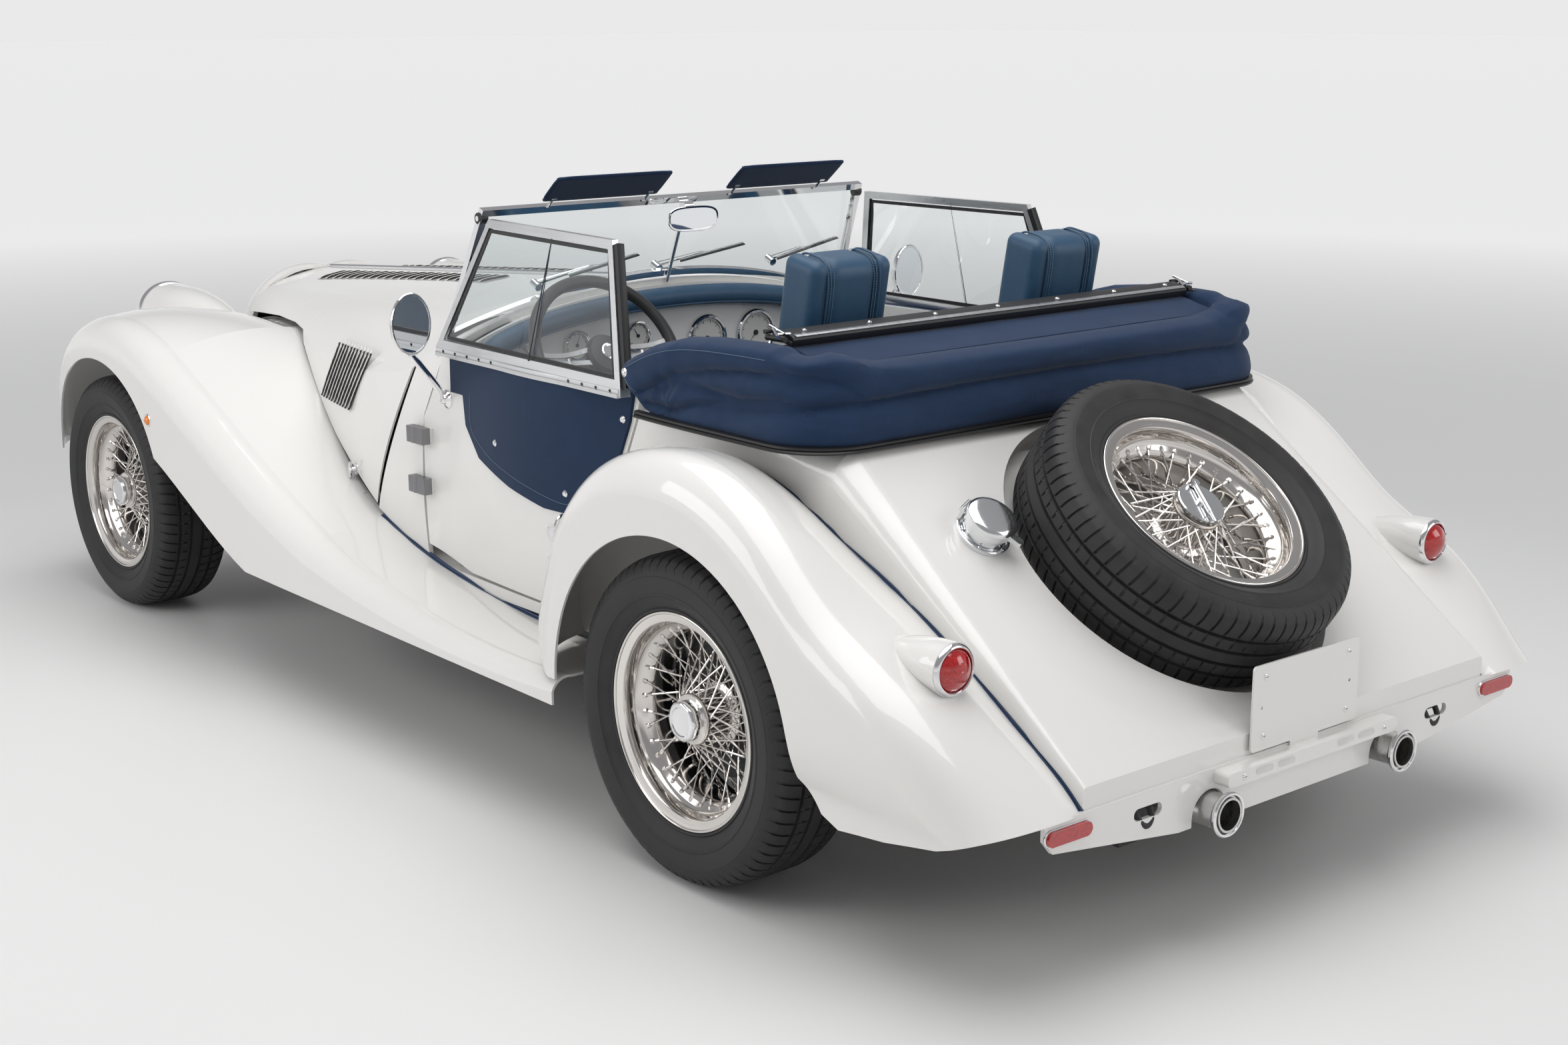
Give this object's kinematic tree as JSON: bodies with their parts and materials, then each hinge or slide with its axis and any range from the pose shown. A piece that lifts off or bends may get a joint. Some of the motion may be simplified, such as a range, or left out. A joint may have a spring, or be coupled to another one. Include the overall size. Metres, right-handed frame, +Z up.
{
  "type": "open roadster car",
  "caption": "Open two-seat roadster with flowing separate wings, wire wheels, split bonnet, sidescreens, folded soft top and a spare wheel on the sloping tail.",
  "frame": {"origin": "on the ground under the middle of the car: the bottom centre of the bounding box", "axes": "+X is the car's left, +Y is rearwards (the car drives towards -Y), +Z is up"},
  "size_m": [1.6506, 3.83, 1.232],
  "materials": {
    "body_paint": "gloss",
    "chrome": "polished",
    "alloy": "satin",
    "black_steel": "satin",
    "white_plastic": "gloss",
    "navy_fabric": "matte",
    "blue_leather": "satin",
    "blue_trim": "matte",
    "tyre_rubber": "matte",
    "glass": "gloss",
    "red_lens": "gloss"
  },
  "bodies": {
    "body": {"cabin_mirror": "chrome", "cabin_trim": "blue_trim", "chassis": "black_steel", "dash_pad": "blue_leather", "dashboard": "body_paint", "engine": "black_steel", "exhaust": "chrome", "filler_neck": "chrome", "front_axle": "black_steel", "front_wings": "body_paint", "grille": "chrome", "headlamps": "glass", "hood_rail": "alloy", "inner_panels": "black_steel", "plate_holder": "white_plastic", "radiator_cowl": "body_paint", "rear_axle": "black_steel", "rear_body": "body_paint", "rear_lenses": "red_lens", "rear_valance": "body_paint", "rear_wings": "body_paint", "scuttle": "body_paint", "seats": "blue_leather", "soft_top": "navy_fabric", "spare_mount": "chrome", "spare_tyre": "tyre_rubber", "spare_wheel": "chrome", "steering_column": "black_steel", "sun_visors": "navy_fabric", "tail_lamps": "body_paint", "windscreen_frame": "chrome", "windscreen_glass": "glass", "wipers": "chrome"},
    "door_left": {"door_left": "body_paint", "sidescreen_frame_left": "alloy", "sidescreen_glass_left": "glass", "sidescreen_panel_left": "navy_fabric", "door_mirror_left": "chrome"},
    "door_right": {"door_right": "body_paint", "sidescreen_frame_right": "alloy", "sidescreen_glass_right": "glass", "sidescreen_panel_right": "navy_fabric", "door_mirror_right": "chrome"},
    "bonnet_left": {"bonnet_left": "body_paint"},
    "bonnet_right": {"bonnet_right": "body_paint"},
    "knuckle_left": {"knuckle_left": "black_steel"},
    "knuckle_right": {"knuckle_right": "black_steel"},
    "wheel_front_left": {"wheel_front_left": "chrome", "tyre_front_left": "tyre_rubber"},
    "wheel_front_right": {"wheel_front_right": "chrome", "tyre_front_right": "tyre_rubber"},
    "wheel_rear_left": {"wheel_rear_left": "chrome", "tyre_rear_left": "tyre_rubber"},
    "wheel_rear_right": {"wheel_rear_right": "chrome", "tyre_rear_right": "tyre_rubber"},
    "steering_wheel": {"steering_wheel": "black_steel"},
    "filler_lid": {"filler_lid": "chrome"}
  },
  "joints": [
    {"name": "door_left_hinge", "type": "hinge", "parent": "body", "child": "door_left", "pos_m": [0.6175, -0.125, 0.6], "axis": [0, 0, -1], "range_deg": [0, 62]},
    {"name": "door_right_hinge", "type": "hinge", "parent": "body", "child": "door_right", "pos_m": [-0.6175, -0.125, 0.6], "axis": [0, 0, 1], "range_deg": [0, 62]},
    {"name": "bonnet_left_hinge", "type": "hinge", "parent": "body", "child": "bonnet_left", "pos_m": [0, -1.642, 0.845], "axis": [0, -0.9971, -0.0757], "range_deg": [0, 78]},
    {"name": "bonnet_right_hinge", "type": "hinge", "parent": "body", "child": "bonnet_right", "pos_m": [0, -1.642, 0.845], "axis": [0, 0.9971, 0.0757], "range_deg": [0, 78]},
    {"name": "steering_left", "type": "hinge", "parent": "body", "child": "knuckle_left", "pos_m": [0.62, -1.45, 0.3135], "axis": [0, 0, 1], "range_deg": [-28, 28]},
    {"name": "steering_right", "type": "hinge", "parent": "body", "child": "knuckle_right", "pos_m": [-0.62, -1.45, 0.3135], "axis": [0, 0, 1], "range_deg": [-28, 28]},
    {"name": "steering_wheel_turn", "type": "hinge", "parent": "body", "child": "steering_wheel", "pos_m": [0.31, 0.196, 0.842], "axis": [0, 0.8387, 0.5446], "range_deg": [-398, 398]},
    {"name": "front_left_spin", "type": "hinge", "parent": "knuckle_left", "child": "wheel_front_left", "pos_m": [0.693, -1.45, 0.3135], "axis": [1, 0, 0], "continuous": true},
    {"name": "front_right_spin", "type": "hinge", "parent": "knuckle_right", "child": "wheel_front_right", "pos_m": [-0.693, -1.45, 0.3135], "axis": [1, 0, 0], "continuous": true},
    {"name": "rear_left_spin", "type": "hinge", "parent": "body", "child": "wheel_rear_left", "pos_m": [0.698, 1.07, 0.3135], "axis": [1, 0, 0], "continuous": true},
    {"name": "rear_right_spin", "type": "hinge", "parent": "body", "child": "wheel_rear_right", "pos_m": [-0.698, 1.07, 0.3135], "axis": [1, 0, 0], "continuous": true},
    {"name": "filler_lid_hinge", "type": "hinge", "parent": "body", "child": "filler_lid", "pos_m": [0.41194, 1.42788, 0.72925], "axis": [0.9153, 0.321, -0.2432], "range_deg": [0, 90]}
  ],
  "couplings": [
    {"joint": "steering_left", "follows": "steering_wheel_turn", "ratio": 0.07},
    {"joint": "steering_right", "follows": "steering_wheel_turn", "ratio": 0.07}
  ]
}
